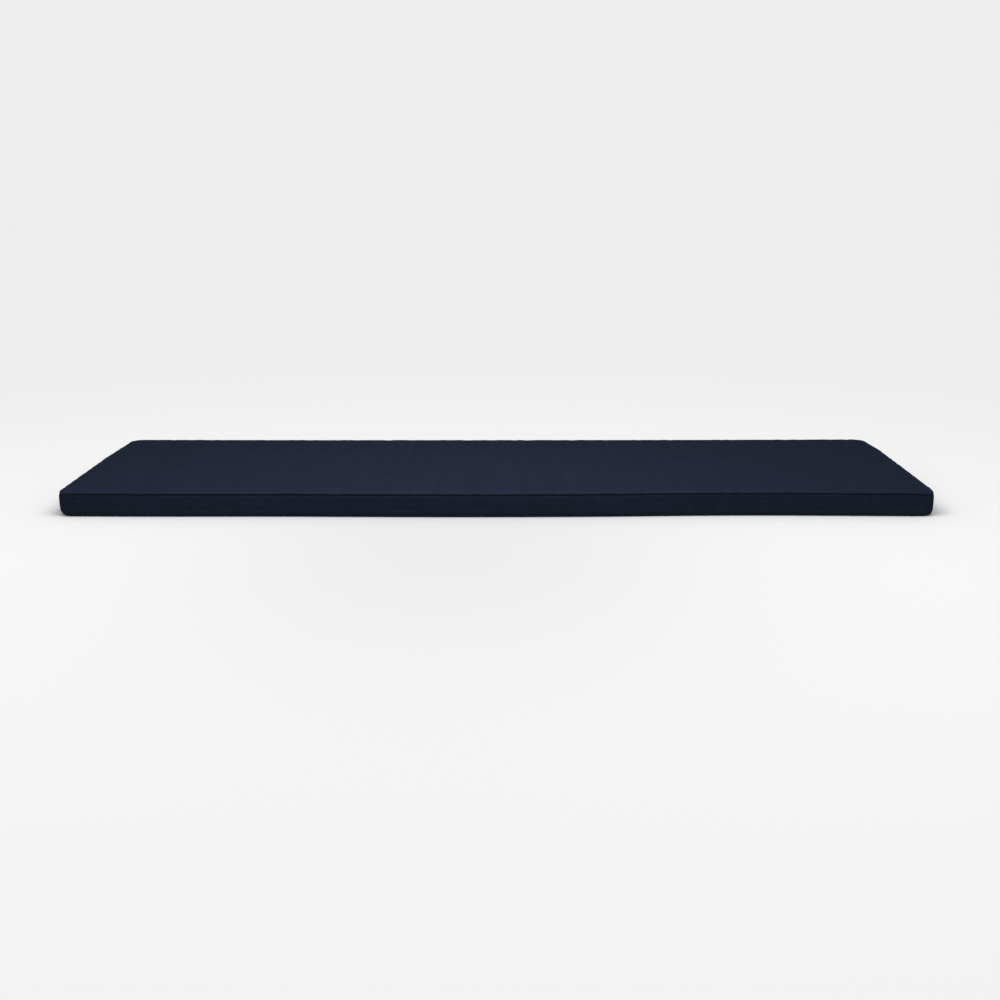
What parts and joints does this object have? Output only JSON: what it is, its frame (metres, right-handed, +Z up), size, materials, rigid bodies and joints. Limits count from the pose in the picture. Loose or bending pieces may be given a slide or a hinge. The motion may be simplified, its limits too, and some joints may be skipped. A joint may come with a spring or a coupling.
{
  "type": "bench cushion",
  "caption": "Long flat foam bench seat cushion in a plain navy woven cover, with a boxed edge, plain seams and softly rounded corners.",
  "frame": {"origin": "on the flat underside, in the middle of the cushion's length and depth", "axes": "+X along the bench, +Z up through the thickness, -Y towards the front edge"},
  "size_m": [1.63, 0.4856, 0.051],
  "materials": {
    "cover_fabric": "matt"
  },
  "bodies": {
    "root": {"cushion": "cover_fabric"}
  },
  "joints": []
}
